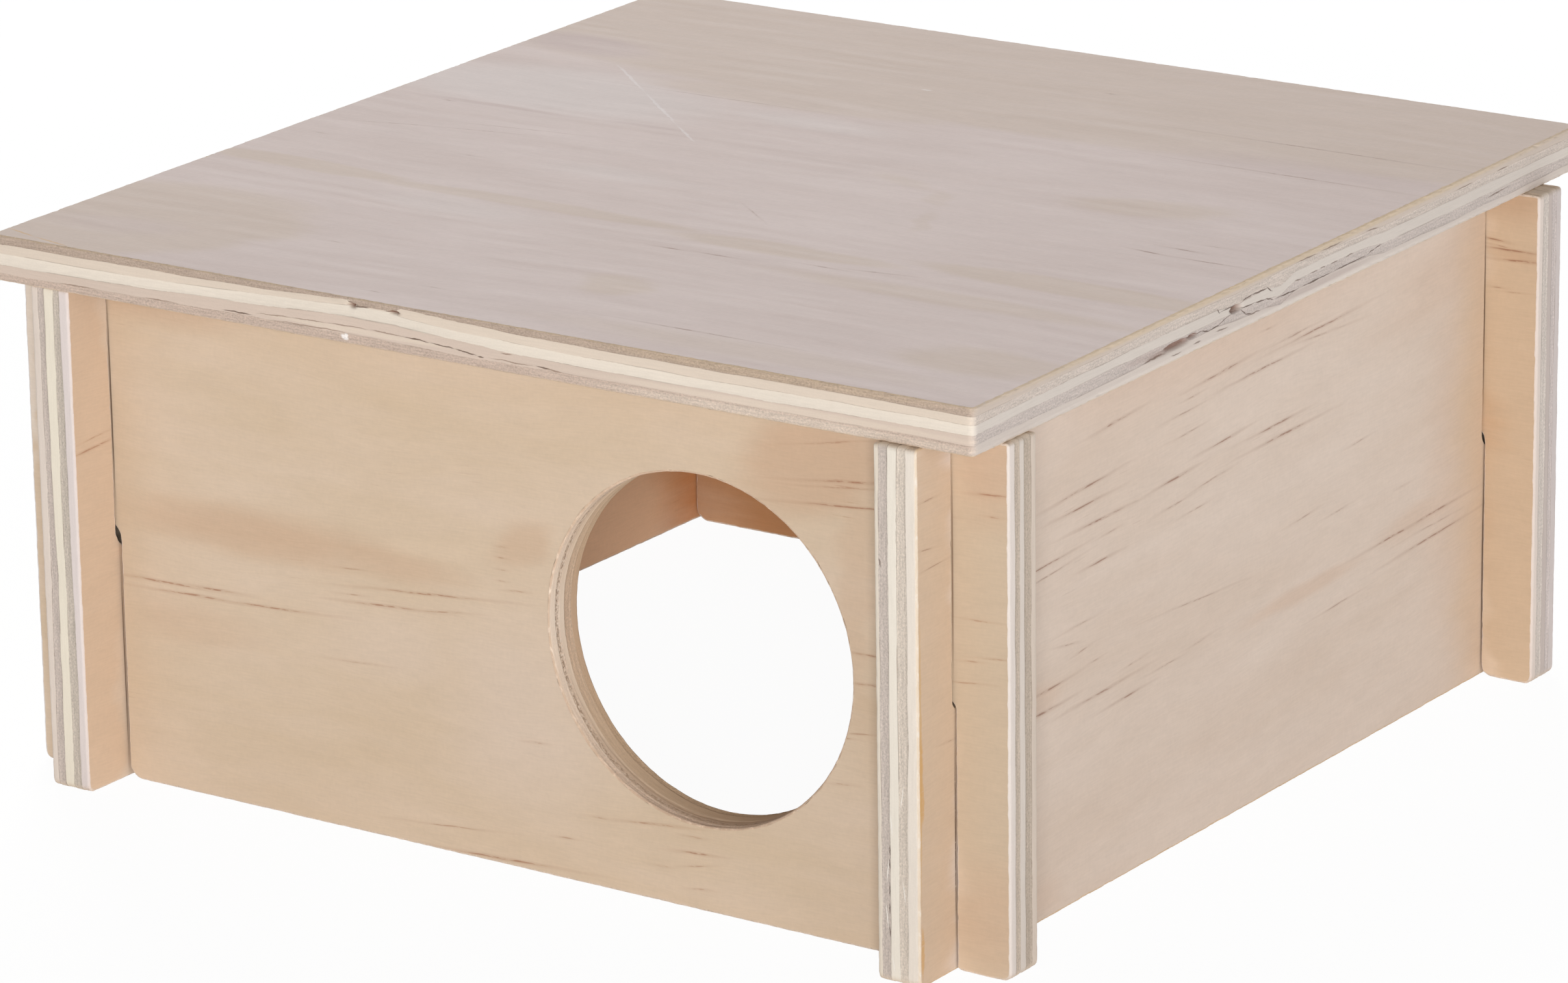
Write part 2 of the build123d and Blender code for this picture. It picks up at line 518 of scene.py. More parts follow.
def work_edge(edge, in_slot, fuzz):
    """Works out edge.ply, edge.along and edge.cut, the depth below the clean cut.

    The cut is a sum: a quarter-round arris of radius r, which is r - sqrt(r^2 - (r - w)^2) deep,
    chips where a noise passes a level, plies that sit low where cut along, saw marks and fuzz."""
    edge.ply = edge.find_ply()
    crossing = np.abs(edge.tangent[:, :1])
    edge.along = crossing * np.ones(edge.shape)
    along_cut = np.where(np.floor(edge.ply) % 2 == 0, crossing, 1 - crossing)
    radius = edge.arris * (1 + 0.06 * edge.along_noise(3.0) + 0.08 * edge.along_noise(0.7))
    ragged = 0.06 + 0.07 * np.abs(edge.along_noise(0.8)) + 0.06 * np.abs(edge.along_noise(2.5))
    if in_slot is not None:
        radius = np.where(in_slot[:, None], ragged * MM, radius)
    radius = np.clip(radius, least_arris, most_arris_share * edge.arris)
    near = np.minimum(edge.w, edge.thickness - edge.w)
    inside = np.clip(radius - near, 0, None)
    arris = radius - np.sqrt(np.clip(radius**2 - inside**2, 0, None))
    chips = np.clip(edge.along_noise(1.0) - chip_level, 0, 1.5) * chip_size
    ply_middle = smooth_step(0.5 - np.abs(edge.ply % 1 - 0.5), 0.02, 0.16)
    torn = along_cut * ply_middle * smooth_step(near, 0.1 * MM, 0.7 * MM)
    edge.cut = (arris + chips * (1 - smooth_step(near, 0, chip_reach))
                + torn * (torn_depth + edge.rough(0.04, 0.6, 1.2)) + edge.rough(0.012, 3.0, 1.5)
                + edge.rough(fuzz, 0.6, 1.2) * (1 - smooth_step(near, 0.2 * MM, 1.1 * MM)))


def hollow(edge, here, run, at, radii, depth, dark, soft=0.45):
    """Sinks a pit: an ellipse round a place along the run and a depth w, deepest in its middle."""
    away = np.hypot((run / MM - at[0]) / radii[0], (edge.depth / MM - at[1]) / radii[1])
    shape = (1 - smooth_step(away, 1 - soft, 1)) * here
    edge.cut = np.maximum(edge.cut, shape * depth * MM)
    # the dark share is painted shade in the hollow, on top of its sunk depth
    edge.pit = np.maximum(edge.pit, shape * dark)


work_edge(trial, None, 0.02)
print("deepest cut", round(trial.cut.max() / MM, 2), "mm")

# %% [markdown]
# ## From strip to board
# The strip's first and last rows are the rims of the two broad faces. Those faces are flat, so a
# constrained Delaunay triangulation of the rims fills them, slots and door hole included. The
# strip is smooth shaded and the broad faces flat, which keeps the arris soft and the faces true.

# %% Fill a broad face
merge_distance = 1e-5
only_inside = 1


def fill_face(rims):
    """Triangles between the rims, as numbers of their points.

    A triangle with all its corners on the second rim lies inside the hole, and is dropped."""
    flat = np.concatenate(rims) / MM
    starts = np.cumsum([0] + [len(rim) for rim in rims])
    edges = [(int(start + k), int(start + (k + 1) % len(rim)))
             for start, rim in zip(starts, rims) for k in range(len(rim))]
    found = delaunay_2d_cdt([Vector(p) for p in flat], edges, [], only_inside, merge_distance)
    made = np.array([tuple(p) for p in found[0]])
    back = np.array([sources[0] for sources in found[3]])
    triangles = np.array(found[2])
    triangles = triangles[(back[triangles] < starts[1]).any(1)]
    corners = made[triangles]
    one, two = corners[:, 1] - corners[:, 0], corners[:, 2] - corners[:, 0]
    turned = one[:, 0] * two[:, 1] - one[:, 1] * two[:, 0] < 0
    triangles[turned] = triangles[turned][:, ::-1]
    return back[triangles]


print("the roof's face has", len(fill_face([outlines["roof"][0][0]])), "triangles")

# %% [markdown]
# ## Strips and faces in one mesh
# Quads join the strip's points from row to row, and the last row to the first. Their corners get
# the arc length and the depth in millimetres as texture coordinates. Each point also carries its
# ply, how far its edge runs along the grain, and how much painted shade it gets in a pit.

# %% Build a board's mesh
def board_piece(name, board, edges, finishes):
    """A closed board: edge strips of quads between two triangulated faces.

    A strip point is the outline's point + the inward normal times its cut, at depth w. The faces
    take the first finish and each strip takes the next one."""
    places, uvs, quads, finish_numbers, rims, count = [], [], [], [], ([], []), 0
    for number, edge in enumerate(edges, 1):
        rows, columns = edge.shape
        inward = np.column_stack([-edge.tangent[:, 1], edge.tangent[:, 0]])
        flat = edge.points[:, None, :] + inward[:, None, :] * edge.cut[..., None]
        places.append(board.place(flat[..., 0], flat[..., 1], edge.depth).reshape(-1, 3))
        i, j = np.meshgrid(np.arange(rows), np.arange(columns - 1), indexing="ij")
        row, column = np.stack([i, i, i + 1, i + 1], -1), np.stack([j, j + 1, j + 1, j], -1)
        quads.append((row % rows * columns + column).reshape(-1, 4) + count)
        uvs.append(np.stack([row * edge.pitch / MM, edge.w[column] / MM], -1).reshape(-1, 2))
        finish_numbers.append(np.full(i.size, number))
        for rim, last in zip(rims, (0, columns - 1)):
            rim.append((flat[:, last], np.arange(rows) * columns + last + count))
        count += rows * columns
    faces = []
    for rim, way_round in zip(rims, (1, -1)):
        flat, numbers = (np.concatenate(part) for part in zip(*rim))
        triangles = fill_face([points for points, _ in rim])[:, ::way_round]
        faces.append(numbers[triangles])
        uvs.append(flat[triangles].reshape(-1, 2) / MM)
        finish_numbers.append(np.zeros(len(triangles), int))
    quads, faces = np.concatenate(quads), np.concatenate(faces)
    finish_numbers = np.concatenate(finish_numbers).astype(np.int32)
    mesh = bpy.data.meshes.new(name)
    mesh.from_pydata(np.concatenate(places).tolist(), [], quads.tolist() + faces.tolist())
    mesh.polygons.foreach_set("use_smooth", finish_numbers > 0)
    mesh.polygons.foreach_set("material_index", finish_numbers)
    layer = mesh.uv_layers.new(name="edge")
    layer.data.foreach_set("uv", np.concatenate(uvs).ravel().astype(np.float32))
    for key in ("ply", "along", "pit"):
        values = np.concatenate([getattr(edge, key).ravel() for edge in edges])
        mesh.attributes.new(key, "FLOAT", "POINT").data.foreach_set("value", values.astype(np.float32))
    for finish in finishes:
        mesh.materials.append(finish)
    mesh.update()
    piece = add_object(name, mesh)
    print(name, len(quads) * 2 + len(faces), "triangles")
    return piece

# %% [markdown]
# ## Marks placed one by one
# Two kinds of mark are put where the real boards have them. A patch is a soft ellipse of another
# tone. A stroke is a thin dash from one point to another, and a list of strokes gives one number:
# the distance to the nearest of them. Both undo a place, a turn and a size with a Mapping node, so
# that the ellipse becomes a unit ball and the distance is a plain length.

# %% Patches and strokes
through_board = 3.0


def board_axes(wire, board, grain_turn=0.0):
    """The point in mm on the board's axes, u and v turned so that u follows the grain."""
    point = wire.node("ShaderNodeTexCoord", output="Object")
    from_origin = point - tuple(board.origin)
    turn = np.radians(grain_turn)
    grain = np.cos(turn) * board.along + np.sin(turn) * board.up
    rise = -np.sin(turn) * board.along + np.cos(turn) * board.up
    return [from_origin.dot(axis / MM) for axis in (board.along, board.up, -board.out, grain, rise)]


def vector(x, y, z=0.0):
    """Three numbers as one vector, the first of them a wire."""
    return x.node("ShaderNodeCombineXYZ", inputs={0: x, 1: y, 2: z})


def noise(place, detail=2.0, roughness=0.5, output="Fac"):
    """Blender's own noise, about 0.5 in the mean. Its Color output is three noises at once."""
    return place.node("ShaderNodeTexNoise", {"noise_dimensions": "3D"},
                      {"Vector": place, "Scale": 1.0, "Detail": detail, "Roughness": roughness}, output)


def shaken(place, cells, size, detail=2.0):
    """A place moved by up to half of size, by noise with that many cells per mm each way."""
    return place + (noise(place * cells, detail, output="Color") - (0.5, 0.5, 0.5)) * size


def unit_ball(place, at, half_sizes, turn):
    """How far out a point is in an ellipse at a place, turned by degrees: 1 on its rim.

    A place is u and v, and a depth w where the ellipse lies on the inner face."""
    return place.node("ShaderNodeMapping", {"vector_type": "TEXTURE"},
                      {"Vector": place, "Location": (*at, 0)[:3], "Rotation": (0, 0, np.radians(turn)),
                       "Scale": (*half_sizes, through_board)}).length()


def patches(place, marks):
    """The strongest of several soft patches.

    Each has a place, two half sizes, a turn, a strength, a softness, and at the inner face a depth."""
    strongest = None
    for u, v, half_u, half_v, turn, strength, soft, *depth in marks:
        one = unit_ball(place, (u, v, *depth), (half_u, half_v), turn).step(1.0, 1.0 - soft) * strength
        strongest = one if strongest is None else strongest.top(one)
    return strongest


def strokes(place, marks, half_width):
    """How far from the nearest of several thin dashes: 0 in its middle and 1 on its rim."""
    nearest = None
    for x0, y0, x1, y1, *depth in marks:
        half_length, turn = np.hypot(x1 - x0, y1 - y0) / 2 + 0.5, np.degrees(np.arctan2(y1 - y0, x1 - x0))
        one = unit_ball(place, ((x0 + x1) / 2, (y0 + y1) / 2, *depth), (half_length, half_width), turn)
        nearest = one if nearest is None else nearest.least(one)
    return nearest


def lighten(colour, light):
    """A colour times a number."""
    return colour.blend("MULTIPLY", 1.0, vector(light, light, light))


def link_finish(shader, colour, roughness, height, strength, distance, specular):
    """Gives the shader its colour, its roughness, its specular level and a bump from the height."""
    bump = colour.node("ShaderNodeBump",
                       inputs={"Strength": strength, "Distance": distance, "Height": height})
    for socket, value in (("Base Color", colour), ("Roughness", roughness), ("Normal", bump)):
        colour.tree.links.new(value.socket, shader.inputs[socket])
    shader.inputs["Specular IOR Level"].default_value = specular


print("a patch reaches", through_board, "mm into the board from its face")

# %% [markdown]
# ## The pine face
# Rotary-cut pine veneer is nearly plain: broad soft zones where the knife ran through the year
# rings at a shallow angle, a faint mottle, very fine fibres along the board, and short brown
# dashes where it opened resin ducts. The plain ground is stretched noise between two close tones.
# The zones and the clear dashes are placed one by one, with noise to tear their rims. More dashes are
# cells of stretched Voronoi noise that come in clusters.

# %% Veneer of a broad face
grain_bend = 12
strong_dash, faint_dash = (0.21, 0.8), (0.16, 0.5)


def veneer(name, ground, brown, grain_turn, seed, zones=(), strong=(), faint=(), lines=(),
           clusters=(), scatter=1.0):
    """Bare sanded pine veneer from two close ground tones, zones of other tones, and dashes.

    Lines are groups of free strokes, each with a colour, a strength, a half width and how far
    they wander. Those that don't are unbroken."""
    material, shader, wire = new_finish(name + "_veneer")
    u, v, w, along, across = board_axes(wire, boards[name], grain_turn)
    here, level = vector(u, v, w), across

    def figure(cells, detail, roughness=0.5, start=seed):
        """Noise with so many cells per mm along the grain, across it and into the wood."""
        place = vector(along * cells[0], level * cells[1], w * cells[2] + start)
        return noise(place, detail, roughness)

    # the grain bends a little, and all that follows bends with it
    level = across + (figure((0.009, 0.02, 0.2), 2) - 0.5) * grain_bend
    broad, narrow = figure((0.02, 0.06, 0.3), 4), figure((0.03, 0.4, 0.3), 3, 0.6)
    mottle, fibre = figure((0.14, 0.3, 0.3), 3, 0.6), figure((0.3, 3.2, 1.0), 3, 0.62)
    fleck, torn = figure((1.6, 0.9, 1.0), 2), figure((0.45, 2.2, 0.0), 3, 0.6)

    tone = (broad - 0.5) * 2.4 + (narrow - 0.5) * 0.8 + 0.5
    stops = [(0.0, srgb(*ground[0])), (1.0, srgb(*ground[1]))]
    colour = wire.node("ShaderNodeValToRGB", {"stops": stops}, {"Fac": tone})
    wavy = shaken(here, (0.03, 0.1, 0.1), (16.0, 3.5, 0.0), 3.0)
    for shade, marks in zones:
        colour = colour.mix(patches(wavy, marks) * (narrow * 0.5 + 0.75), srgb(*shade))
    light = (fibre - 0.5) * 0.15 + (fleck - 0.5) * 0.07 + (mottle - 0.5) * 0.09 + 1.0
    colour = lighten(colour, light)

    # natural dashes: long thin cells, of which a few are picked by their colours
    cell_place = vector(along * 0.055 + seed, level * 1.15 + w * 3.3)
    cell = wire.node("ShaderNodeTexVoronoi", {"voronoi_dimensions": "2D"},
                     {"Vector": cell_place, "Scale": 1.0, "Randomness": 1.0}, "Distance")
    luck = wire.node("ShaderNodeSeparateColor", inputs={"Color": cell.other("Color")}, output="Red")
    crowd = figure((0.02, 0.05, 1.0), 1, start=seed * 2.1).step(0.5, 0.72) * scatter
    if clusters:
        crowd = crowd.top(patches(here, clusters))
    paleness = luck.other("Green") * 0.6 + 0.2
    dash = cell.step(0.16, 0.05) * luck.step(0.62, 0.66) * crowd * paleness * torn.step(0.35, 0.6)

    jagged = shaken(here, (0.12, 0.7, 0.5), (0.0, 0.5, 0.0))
    halo = dash * 0.3
    for marks, (half_width, strength) in ((strong, strong_dash), (faint, faint_dash)):
        if marks:
            away = strokes(jagged, marks, half_width)
            dash = dash.top(away.step(1.0, 0.3) * torn.step(0.38, 0.56) * strength)
            halo = halo.top(away.step(2.6, 0.6) * strength)
    warm = tuple((2 * shade + ground_shade) / 3 for shade, ground_shade in zip(brown, ground[1]))
    colour = colour.mix(halo * 0.3, srgb(*warm)).mix(dash * 0.85, srgb(*brown))
    for shade, strength, half_width, wander, marks in lines:
        place = shaken(here, (0.6, 0.6, 0.5), (wander, wander, 0.0), 3.0) if wander else here
        mask = strokes(place, marks, half_width).step(1.0, 0.4) * strength
        colour = colour.mix(mask * torn.step(0.2, 0.45) if wander else mask, srgb(*shade))

    link_finish(shader, colour, 0.62 + (narrow - 0.5) * 0.15 + dash * 0.15, fibre * 0.6 + fleck * 0.3,
                strength=0.2, distance=0.06 * MM, specular=0.3)
    print(material.name, "has", len(wire.tree.nodes), "nodes")
    return material

# %% [markdown]
# ## The plies on a cut edge
# Each edge shows five bands. A ply cut across its grain is smooth and cream, one cut along it is
# grey-brown and speckled, so the bands swap on edges that run the other way. The mesh says which
# ply a point is in and how far the edge runs along the grain, and two ramps give the colours for
# the two ways, mixed by that share.

# %% Edge finish
glue_brown = (120, 98, 84)
pit_shade_brown = (124, 84, 66)
torn_pale, torn_dark = (248, 238, 226), (130, 100, 78)


def edge_finish(name, board, across_cut, along_cut, seed, rim=(0.6, (207, 172, 124)), zones=(), cracks=(),
                torn_line=0.0, seams=0.5):
    """Ply colours for an edge cut across the board's grain and for one cut along it."""
    material, shader, wire = new_finish(name)
    u, v, w, _, _ = board_axes(wire, board)
    sides = {"front": vector(u, w, v + board.height / 2 / MM),
             "right": vector(v, w, u - roof_width / 2 / MM),
             "post": vector(w, v, u + board.length / 2 / MM)}
    uv = wire.node("ShaderNodeUVMap", {"uv_map": "edge"})
    s, depth = (wire.node("ShaderNodeSeparateXYZ", inputs={0: uv}, output=k) for k in (0, 1))
    ply, along, pit = (wire.node("ShaderNodeAttribute", {"attribute_name": key}, output="Fac")
                       for key in ("ply", "along", "pit"))

    def lumps(cells_along, across, start=0, detail=3, roughness=0.5):
        """Noise along the edge, with its own start for each use."""
        return noise(vector(s * cells_along, across, seed + start), detail, roughness)

    smeared = ply + (lumps(0.8, depth * 2.0) - 0.5) * 0.16
    shown = []
    for colours in (across_cut, along_cut):
        settings = {"interpolation": "CONSTANT",
                    "stops": [(k / 5, srgb(*colour)) for k, colour in enumerate(colours)]}
        shown.append(wire.node("ShaderNodeValToRGB", settings, {"Fac": smeared * 0.2}))
    colour = shown[0].mix(along, shown[1])
    for side, shade, marks in zones:
        colour = colour.mix(patches(sides[side], marks), srgb(*shade))

    # every second ply is cut along its grain, and the middle ones of those are torn
    number = wire.sum("FLOOR", smeared)
    odd = wire.sum("MODULO", number, 2.0)
    torn_ply = (odd + (1 - odd * 2) * along) * wire.sum("ABSOLUTE", number - 2.0).step(0.0, 1.0)
    tone = lumps(0.03, number * 3.7) - 0.5
    streak = lumps(0.16, depth * 3.4, detail=4, roughness=0.65) - 0.5
    speck = lumps(2.4, depth * 3.2, roughness=0.7) - 0.5
    light = 1 + tone * 0.12 + streak * (torn_ply * 0.5 + 0.16) + speck * (torn_ply * 0.95 + 0.12)
    colour = lighten(colour, light)

    line = wire.sum("ABSOLUTE", wire.sum("FRACT", ply + 0.5) - 0.5)
    inside = ply.step(0.5, 0.6) * ply.step(4.5, 4.4)
    broken = lumps(0.07, number * 2.3, 5).step(0.44, 0.6)
    colour = colour.mix(line.step(0.07, 0.02) * inside * broken * seams, srgb(*glue_brown))
    if torn_line:
        drift = (lumps(0.4, 0.0, 2) - 0.5) * 0.8
        fringe = lumps(1.5, depth * 2.4, 3, roughness=0.7)
        near, upright = wire.sum("ABSOLUTE", depth + drift - torn_line), 1 - along * 0.5
        pale = near.step(1.0, 0.5) * fringe.step(0.48, 0.38) * upright * 0.5
        dark = near.step(0.55, 0.2) * fringe.step(0.46, 0.58) * upright * 0.75
        colour = colour.mix(pale, srgb(*torn_pale)).mix(dark, srgb(*torn_dark))
    jag = {side: shaken(place, (0.5, 1.4, 0.0), (0.3, 0.5, 0.0), 3.0) for side, place in sides.items()}
    for side, shade, strength, half_width, marks in cracks:
        mask = strokes(jag[side], marks, half_width).step(1.0, 0.4) * strength
        colour = colour.mix(mask, srgb(*shade))

    golden, gold = rim
    fray = lumps(0.6, depth * 3.0, 8, roughness=0.65)
    near_rim = ply.step(0.24, 0.05).top(ply.step(4.8, 4.95))
    # the hollows are darkened by their pit share: painted shade in the recess, over their real depth
    colour = colour.mix(near_rim * fray.step(0.25, 0.55) * golden, srgb(*gold)).mix(pit, srgb(*pit_shade_brown))

    height = speck * (torn_ply * 0.9 + 0.2) + streak * 0.4 + fray * 0.3
    link_finish(shader, colour, 0.78 + speck * 0.2, height,
                strength=0.5, distance=0.1 * MM, specular=0.25)
    print(material.name, "has", len(wire.tree.nodes), "nodes")
    return material

# %% [markdown]
# ## Colours and marks of the walls
# All boards are the same pine, but no two faces match. The front is the warmest and the right side
# is cooler. Every mark is a place on the board's own axes in millimetres, u along and v up from
# the bottom edge: patches with half sizes, and dashes from point to point.

# %% Front face
brown = (156, 104, 76)
# painted shade: dark strokes along the seams where the crossing boards meet
seam_shade_brown = (84, 58, 42)
faces = {}
faces["front"] = veneer(
    "front", ((215, 193, 170), (208, 185, 158)), brown, 0.5, 3.1,
    zones=[
        ((216, 196, 178), [(4, 26, 26, 24, 0, 0.7, 0.9), (-22, 34, 22, 9, 0, 0.4, 0.9)]),
        ((203, 173, 145), [(-52, 49.5, 42, 6.4, 1, 0.85, 0.8), (-24, 49, 24, 4.5, -2, 0.7, 0.8),
            # the tall strip at (71, 60) is painted shade beside the right post
            (4, 57, 10, 4.5, 22, 0.6, 0.6), (62, 80, 21, 10, 15, 0.9, 0.5), (71, 60, 5, 34, 0, 0.4, 0.7),
            (-66, 31, 24, 6, 0, 0.4, 0.8)]),
        # painted warm shade in the corner beside the left board, and on the right tab beside the right board
        ((202, 181, 156), [(-80, 45, 7, 70, 0, 0.5, 0.9), (96, 45, 10, 70, 0, 0.9, 0.4)]),
        # painted shade: the right tab darker at its foot and under the roof
        ((203, 173, 146), [(96, 10, 12, 14, 0, 0.6, 0.8), (96, 86, 12, 14, 0, 0.8, 0.8)]),
        ((216, 193, 167), [(-14, 53, 14, 3, 8, 0.6, 0.7)]),
        # painted shade along the top at the left, under the roof's edge
        ((198, 166, 138), [(-70, 88, 30, 7, 0, 0.6, 0.7)]),
        # painted light: a pale strip on the left tab's end, where the left board shades it
        ((224, 209, 194), [(-99, 74, 3.5, 24, 0, 0.9, 0.5)])],
    lines=[
        # painted shade in the seams beside the crossing boards
        (seam_shade_brown, 0.9, 0.17, 0, [(-81.66, 46, -81.66, 90)]),
        ((120, 86, 64), 0.65, 0.2, 0, [(89.33, 45.5, 89.33, 90)])],
    strong=[(-74, 35.5, -57, 36.2), (-58, 36.1, -40, 37.2), (-80, 37, -62, 37.5), (-65, 37.7, -56, 37.9),
        (-31, 40.8, -17, 41.8), (-26, 44, -4, 46), (25, 12.7, 36, 13.8), (36, 9.5, 42, 10),
        (62, 77.8, 80, 80), (60, 73.7, 80, 75.4), (-12, 0.5, 10, 1.5), (94, 80.8, 99.8, 81.2),
        (70, 50.2, 80, 50.5), (70, 45, 80, 45.9)],
    faint=[(-33, 46.5, -29, 46.8), (-33, 42, -29, 42.3), (-17, 41.8, -7, 43), (-34, 30, -26, 30.5),
        (2, 48.6, 5, 48.9), (5, 22.8, 8, 23), (11, 7.2, 14, 7.4), (18, 12.2, 21, 12.3),
        (37, 12.5, 40, 12.6), (37, 7.2, 41, 8), (31, 6.2, 33, 6.3), (38, 3.5, 41, 3.8), (-20, 4, -4, 5.3),
        (0, 50, 1, 50), (0, 52, 1, 52), (0, 54, 1, 54), (0, 56, 1, 56), (62, 76.8, 78, 78.6),
        (60, 83.5, 74, 86.2), (69, 36.3, 74, 37), (67, 35.3, 70, 35.5), (66, 27.2, 69.5, 27.6),
        (92, 59.8, 97, 60), (91.5, 52.7, 94, 52.9), (95, 53.8, 100, 54.3), (89, 48.8, 95, 49.4),
        (96, 77.4, 98, 77.5)],
    clusters=[(70, 76, 9, 6, 0, 0.6, 0.5)], scatter=0.25)

# %% [markdown]
# ## The right face
# This one is paler, with tan zones at both ends, painted as warm shade beside the crossing boards,
# and a line of resin down its near end.

# %% Right face
faces["right"] = veneer(
    "right", ((214, 197, 183), (208, 189, 173)), (134, 92, 72), 1.5, 11.7,
    zones=[
        ((206, 182, 163), [(68, 78, 36, 10, 8, 0.6, 0.8), (70, 45, 13, 50, 0, 0.6, 0.9),
            (-10, 85, 60, 9, 0, 0.45, 0.8), (-66, 38.5, 13, 4, 0, 0.6, 0.7),
            (20, 33.2, 27, 2.0, 1.5, 0.8, 0.7), (62, 36, 22, 4, 2, 0.6, 0.7), (-62, 4, 8, 5, 0, 0.5, 0.8)]),
        # painted warm shade at both ends, beside the crossing boards and on the tabs
        ((205, 180, 155), [(-81, 45, 8, 70, 0, 0.5, 0.8), (80, 45, 14, 90, 0, 0.9, 0.9),
            (-96, 45, 10, 70, 0, 1.0, 0.4), (96, 45, 10, 70, 0, 1.0, 0.4)])],
    lines=[
        ((204, 164, 108), 0.6, 0.5, 0.6, [(-99.4, 10, -99.3, 68)]),
        ((204, 158, 98), 0.7, 0.7, 0.8, [(-99.2, 24, -99.1, 46), (-98.9, 27, -98.8, 35),
            (-99.1, 1, -99.1, 11)]),
        # painted shade in the seams beside the crossing boards
        (seam_shade_brown, 0.9, 0.17, 0.15, [(-89.42, 0.5, -89.42, 44)]),
        (seam_shade_brown, 0.8, 0.2, 0, [(81.8, 0.5, 81.8, 43)])],
    strong=[(-59, 70.2, -43, 71), (-58, 67.5, -45, 67.8), (-52.5, 64, -38, 64), (-28, 64.5, -18, 65),
        (-69, 60.3, -55, 61), (-50, 56.8, -42, 57), (-46, 79, -36, 79.6), (-15, 79, -1, 79.6),
        (14, 78.7, 35, 79.3), (-3, 76.3, 14, 76.7), (-12, 67, -2, 67.5), (3, 65.4, 16, 65.7),
        (4, 63, 22, 63.3), (-68, 39.2, -56, 39.6), (-69, 35.6, -57, 36), (-53, 34, -37, 34.5),
        (-43, 31, -33, 31.4), (41, 34.6, 58, 35), (56, 35, 73, 35.5), (53, 30.5, 75, 31.5)],
    faint=[(-69, 58.3, -54, 59.3), (-45, 60.9, -41, 61.1), (10, 79.7, 22, 80), (18, 78, 34, 77.2),
        (-98.5, 81, -95, 81), (-99.5, 73.2, -95.5, 72.8), (-98, 69.6, -92, 69.9), (-93, 39.5, -90, 39.3),
        (-22, 71.5, -15, 71.8), (-24, 75.2, -15, 75.5), (-19, 77.3, -15, 77.5), (-16, 61, -6, 61.8),
        (-26, 60, -19, 60.4), (-19, 57.6, -13, 57.9), (-56, 47.7, -49, 47.9), (-58, 45.6, -54, 45),
        (-53, 43, -50, 43.3), (-49, 40.2, -46, 40.4), (-38, 36.3, -33, 36.6), (-29, 33, -22, 33.2),
        (-17, 34, -12, 34.3), (58, 33, 70, 33.2), (26, 27.5, 36, 27.9), (16, 46.5, 22, 46.8),
        (28, 44.5, 33, 44.7), (35, 55.2, 40, 55.4), (52, 43, 55, 43.1), (-25, 42.2, -7, 41.2),
        (6, 83, 8, 83)],
    clusters=[(-50, 62, 26, 14, 0, 0.25, 0.5), (5, 70, 30, 12, 0, 0.2, 0.5)], scatter=0.15)

# %% [markdown]
# ## The back and left faces
# These two boards turn their inner faces to the door. Marks on an inner face have a third number,
# its depth in the board. The zones there are painted shade and warm bounced light of the inside.

# %% Back face
inner = 8.0
faces["back"] = veneer(
    "back", ((215, 191, 167), (207, 183, 157)), (142, 92, 66), -0.8, 23.4,
    zones=[
        ((203, 173, 145), [(-26, 68, 62, 7, 2, 0.8, 0.7), (34, 22, 52, 6, -1, 0.7, 0.7)]),
        ((219, 199, 178), [(-44, 38, 36, 11, 1, 0.6, 0.9), (44, 62, 32, 9, 0, 0.5, 0.9)]),
        # painted warm shade on the right tab's inner face, beside the right board
        ((203, 177, 149), [(-96, 45, 9, 70, 0, 1.0, 0.3, inner)]),
        # painted shade under the roof at the right end, with a thin darker band below it
        ((192, 158, 128), [(-96, 90, 12, 9, 0, 0.7, 0.9, inner), (-96, 78.6, 9, 1.6, 0, 0.6, 0.9, inner)]),
        # painted shade and warm bounced light: the whole inner face darker and warmer
        ((197, 152, 111), [(0, 45, 96, 90, 0, 1.2, 0.2, inner)]),
        # painted shade: darker at the foot near the left board
        ((181, 127, 82), [(84, 0, 52, 18, 0, 0.6, 0.6, inner)])],
    strong=[(-89.5, 79.4, -100.4, 79.5, inner), (-92, 77.5, -100.4, 77.9, inner),
        (-89.5, 81, -93, 80.8, inner), (-62, 24, -47, 25), (-57, 27.5, -44, 28.3), (-30, 66, -14, 67),
        (-8, 69.5, 8, 70.4), (22, 58, 40, 59.2), (30, 55, 41, 55.5), (48, 20, 64, 21), (-20, 12, -8, 12.6),
        (60, 74, 74, 75), (36, 24, 45, 24.6)],
    faint=[(-90, 80, -94, 79.8, inner), (-91, 72.3, -93, 72.4, inner), (-94, 71.8, -97, 72, inner),
        (-70, 70, -61, 70.5), (-40, 40, -30, 40.5), (2, 33, 12, 33.6), (16, 36, 23, 36.3),
        (-6, 80, 5, 80.6), (38, 82, 47, 82.5), (54, 44, 62, 44.4), (68, 30, 75, 30.3), (-52, 55, -44, 55.3),
        (-16, 24, -9, 24.4), (8, 14, 18, 14.6), (34, 8, 41, 8.3), (-72, 12, -64, 12.4)],
    lines=[
        # painted shade in the seam beside the right board
        (seam_shade_brown, 0.85, 0.14, 0, [(-89.36, 44.5, -89.36, 90, inner)])], scatter=0.4)

# %% [markdown]
# The left board shows only the inside of its far end through the door.

